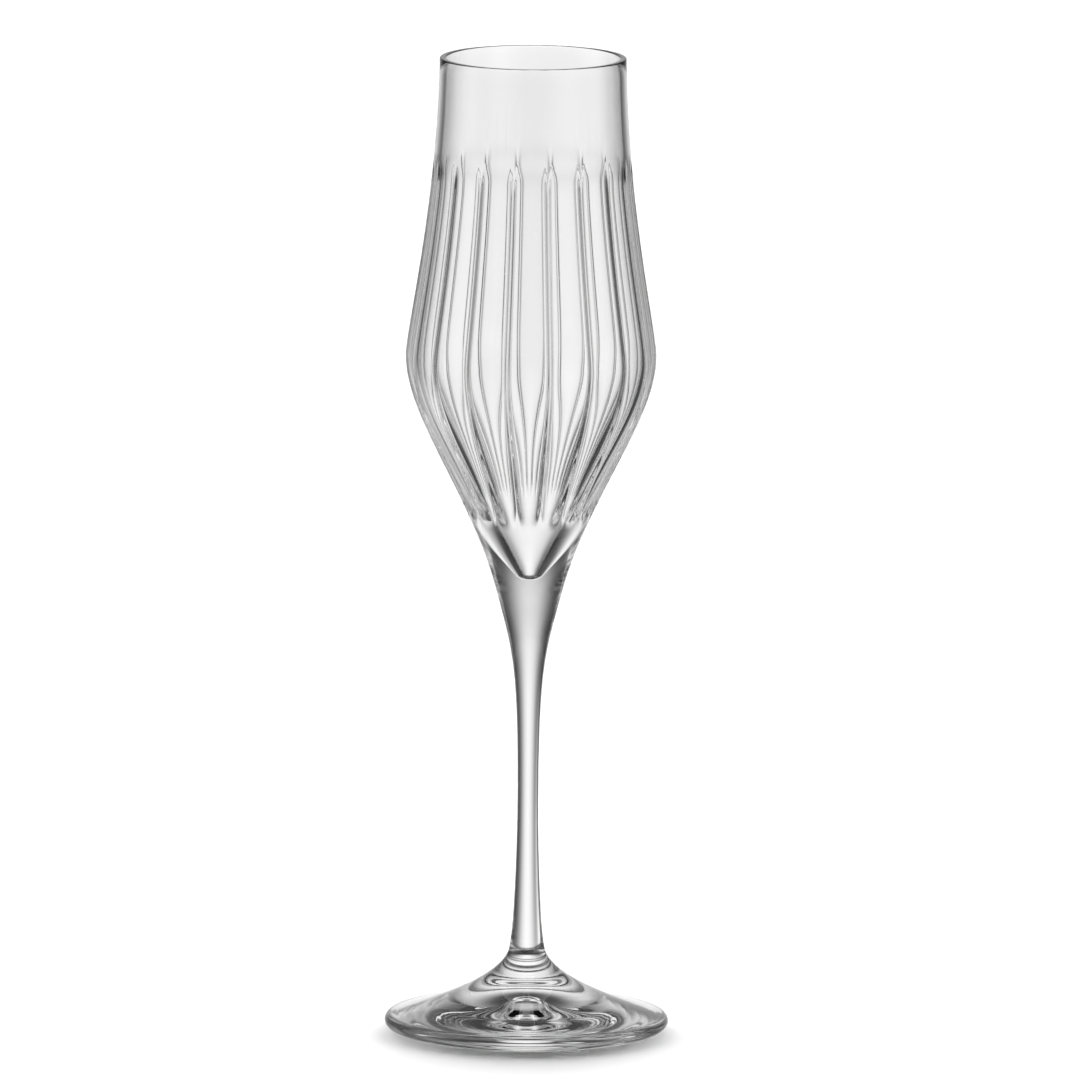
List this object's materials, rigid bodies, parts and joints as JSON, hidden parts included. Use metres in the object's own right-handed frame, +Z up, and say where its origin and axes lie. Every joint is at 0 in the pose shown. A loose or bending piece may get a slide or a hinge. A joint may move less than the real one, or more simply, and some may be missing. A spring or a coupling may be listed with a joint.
{
  "type": "champagne flute",
  "caption": "Tall stemmed champagne glass: tulip bowl with a plain rim band and vertical flutes, pointed inside, slender solid stem, round foot with a hollow underside.",
  "frame": {"origin": "centre of the circle that the foot rests on, at table height", "axes": "+Z up along the axis of the glass, from the foot to the rim; -Y towards the viewer; one ridge of the bowl lies 9 degrees from -Y towards +X"},
  "size_m": [0.0696, 0.0696, 0.24],
  "materials": {
    "bowl_crystal": "polished clear crystal",
    "stem_crystal": "fire-polished clear crystal",
    "foot_crystal": "pressed and fire-polished clear crystal"
  },
  "bodies": {
    "root": {"bowl": "bowl_crystal", "stem": "stem_crystal", "foot": "foot_crystal"}
  },
  "joints": []
}
